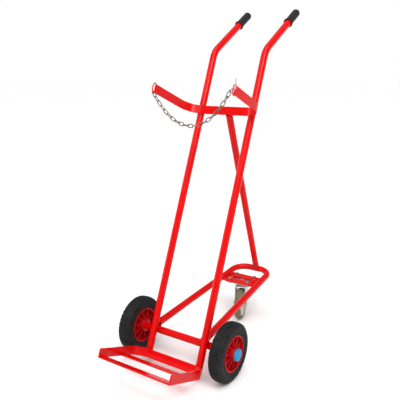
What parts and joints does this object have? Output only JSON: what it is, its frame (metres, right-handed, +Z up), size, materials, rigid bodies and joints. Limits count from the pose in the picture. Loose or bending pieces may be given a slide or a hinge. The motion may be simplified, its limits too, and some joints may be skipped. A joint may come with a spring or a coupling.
{
  "type": "gas_cylinder_trolley",
  "caption": "Red tubular gas cylinder trolley with a toe frame, upper band with safety chain, two wheels, and a rear hoop with a swivel castor",
  "frame": {"origin": "on the floor under the middle of the whole trolley's box", "axes": "+Z up, -Y the way the toe frame points, +X the right-hand side seen from the toe frame's side, along the main axle"},
  "size_m": [0.4492, 0.9142, 1.2096],
  "materials": {
    "red_paint": "gloss",
    "red_plastic": "satin",
    "black_rubber": "matte",
    "black_vinyl": "satin",
    "blue_plastic": "gloss",
    "zinc_plate": "satin",
    "bright_steel": "satin",
    "nylon": "matte",
    "grey_rubber": "matte",
    "pale_plastic": "satin",
    "chain_steel": "satin"
  },
  "bodies": {
    "frame": {"axle": "bright_steel", "axle_clip_left": "zinc_plate", "axle_clip_right": "zinc_plate", "axle_tube": "red_paint", "carrier_bolt_1": "zinc_plate", "carrier_bolt_2": "zinc_plate", "carrier_bolt_3": "zinc_plate", "carrier_bolt_4": "zinc_plate", "carrier_nut_1": "zinc_plate", "carrier_nut_2": "zinc_plate", "carrier_nut_3": "zinc_plate", "carrier_nut_4": "zinc_plate", "castor_ball_ring": "bright_steel", "castor_carrier": "red_paint", "castor_kingpin": "zinc_plate", "castor_race_cup": "zinc_plate", "castor_top_plate": "zinc_plate", "centre_stay": "red_paint", "chain_eye_left": "red_paint", "chain_eye_right": "red_paint", "chain_hook": "zinc_plate", "cylinder_band": "red_paint", "grip_left": "black_vinyl", "grip_right": "black_vinyl", "inner_washer_left": "red_paint", "inner_washer_right": "red_paint", "outer_washer_left": "zinc_plate", "outer_washer_right": "zinc_plate", "rear_hoop": "red_paint", "toe_front_bar": "red_paint", "toe_mid_bar": "red_paint", "toe_rim": "red_paint", "upright_left": "red_paint", "upright_right": "red_paint"},
    "wheel_left": {"tyre_left": "black_rubber", "wheel_centre_left": "red_plastic", "wheel_bearing_left": "nylon", "hub_cap_left": "blue_plastic"},
    "wheel_right": {"tyre_right": "black_rubber", "wheel_centre_right": "red_plastic", "wheel_bearing_right": "nylon", "hub_cap_right": "blue_plastic"},
    "castor_fork": {"castor_fork": "zinc_plate", "castor_kingpin_nut": "zinc_plate", "castor_axle_bolt": "zinc_plate", "castor_axle_nut": "zinc_plate", "castor_axle_sleeve": "zinc_plate"},
    "castor_wheel": {"castor_wheel_core": "pale_plastic", "castor_tread": "grey_rubber"},
    "safety_chain": {"chain": "chain_steel", "chain_end_link": "chain_steel"}
  },
  "joints": [
    {"name": "wheel_left_spin", "type": "hinge", "parent": "frame", "child": "wheel_left", "pos_m": [-0.1848, -0.1925, 0.1], "axis": [1, 0, 0], "continuous": true},
    {"name": "wheel_right_spin", "type": "hinge", "parent": "frame", "child": "wheel_right", "pos_m": [0.1848, -0.1925, 0.1], "axis": [1, 0, 0], "continuous": true},
    {"name": "castor_swivel", "type": "hinge", "parent": "frame", "child": "castor_fork", "pos_m": [0, 0.2385, 0.14], "axis": [0, 0, 1], "continuous": true},
    {"name": "castor_wheel_spin", "type": "hinge", "parent": "castor_fork", "child": "castor_wheel", "pos_m": [0.00621, 0.21532, 0.0625], "axis": [0.9659, 0.2588, 0], "continuous": true},
    {"name": "chain_swing", "type": "hinge", "parent": "frame", "child": "safety_chain", "pos_m": [-0.16248, -0.10851, 0.92133], "axis": [0.9995, -0.0172, 0.0254], "range_deg": [-60, 40]}
  ]
}
